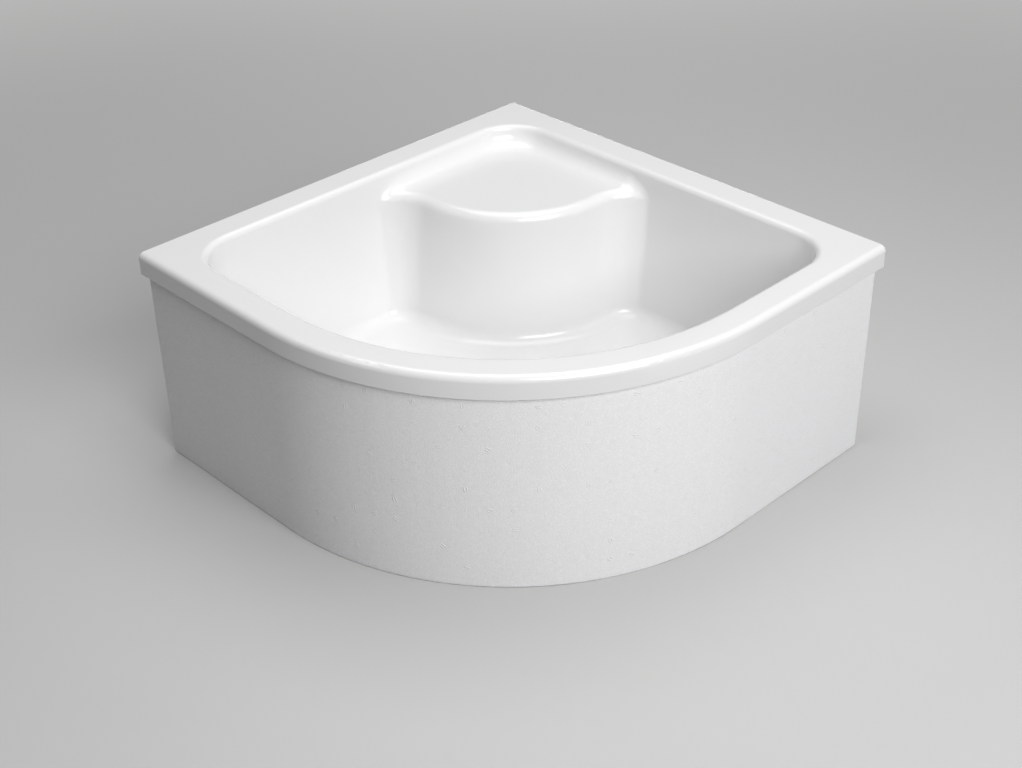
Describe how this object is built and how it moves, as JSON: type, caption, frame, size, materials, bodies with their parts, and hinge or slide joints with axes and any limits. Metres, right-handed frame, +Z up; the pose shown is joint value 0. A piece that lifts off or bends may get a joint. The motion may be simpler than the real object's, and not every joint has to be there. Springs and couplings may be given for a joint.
{
  "type": "quadrant shower tray",
  "caption": "Deep quadrant shower tray with a moulded corner seat, carried on a bead-foam base, with a covered drain, lift-out trap and a waste pipe towards the back wall.",
  "frame": {"origin": "centre of the bounding box on the floor plane", "axes": "+Z up; the room corner is at -X +Y, the walls stand along the planes x = -0.45 m and y = +0.45 m, and the rounded front faces +X -Y"},
  "size_m": [0.9, 0.9, 0.41],
  "materials": {
    "sanitary_acrylic": "gloss",
    "chipboard": "raw",
    "bead_foam": "matt moulded bead foam",
    "adhesive": "cured",
    "stainless": "satin",
    "chrome_cap": "polished",
    "trap_plastic": "satin",
    "waste_pipe_plastic": "satin",
    "seal_rubber": "matt"
  },
  "bodies": {
    "tray": {"tray_shell": "sanitary_acrylic", "floor_board": "chipboard", "carrier_ring": "bead_foam", "carrier_base": "bead_foam", "carrier_seat_block": "bead_foam", "rim_bond_strip": "adhesive", "floor_bond_pads": "adhesive", "seat_bond_pads": "adhesive", "waste_flange": "stainless", "flange_gasket": "seal_rubber", "body_gasket": "seal_rubber", "flange_screws": "stainless", "trap_body": "trap_plastic", "outlet_pipe": "waste_pipe_plastic", "outlet_seal": "seal_rubber", "outlet_nut": "trap_plastic"},
    "cup": {"trap_cup": "trap_plastic"},
    "tube": {"dip_tube": "trap_plastic", "dip_tube_seal": "seal_rubber"},
    "strainer": {"hair_strainer": "trap_plastic"},
    "cover": {"drain_cover": "chrome_cap"}
  },
  "joints": [
    {"name": "cup_lift", "type": "slide", "parent": "tray", "child": "cup", "axis": [0, 0, 1], "range_m": [0, 0.39]},
    {"name": "tube_lift", "type": "slide", "parent": "cup", "child": "tube", "axis": [0, 0, 1], "range_m": [0, 0.375]},
    {"name": "strainer_lift", "type": "slide", "parent": "tube", "child": "strainer", "axis": [0, 0, 1], "range_m": [0, 0.315]},
    {"name": "cover_lift", "type": "slide", "parent": "strainer", "child": "cover", "axis": [0, 0, 1], "range_m": [0, 0.305]}
  ]
}
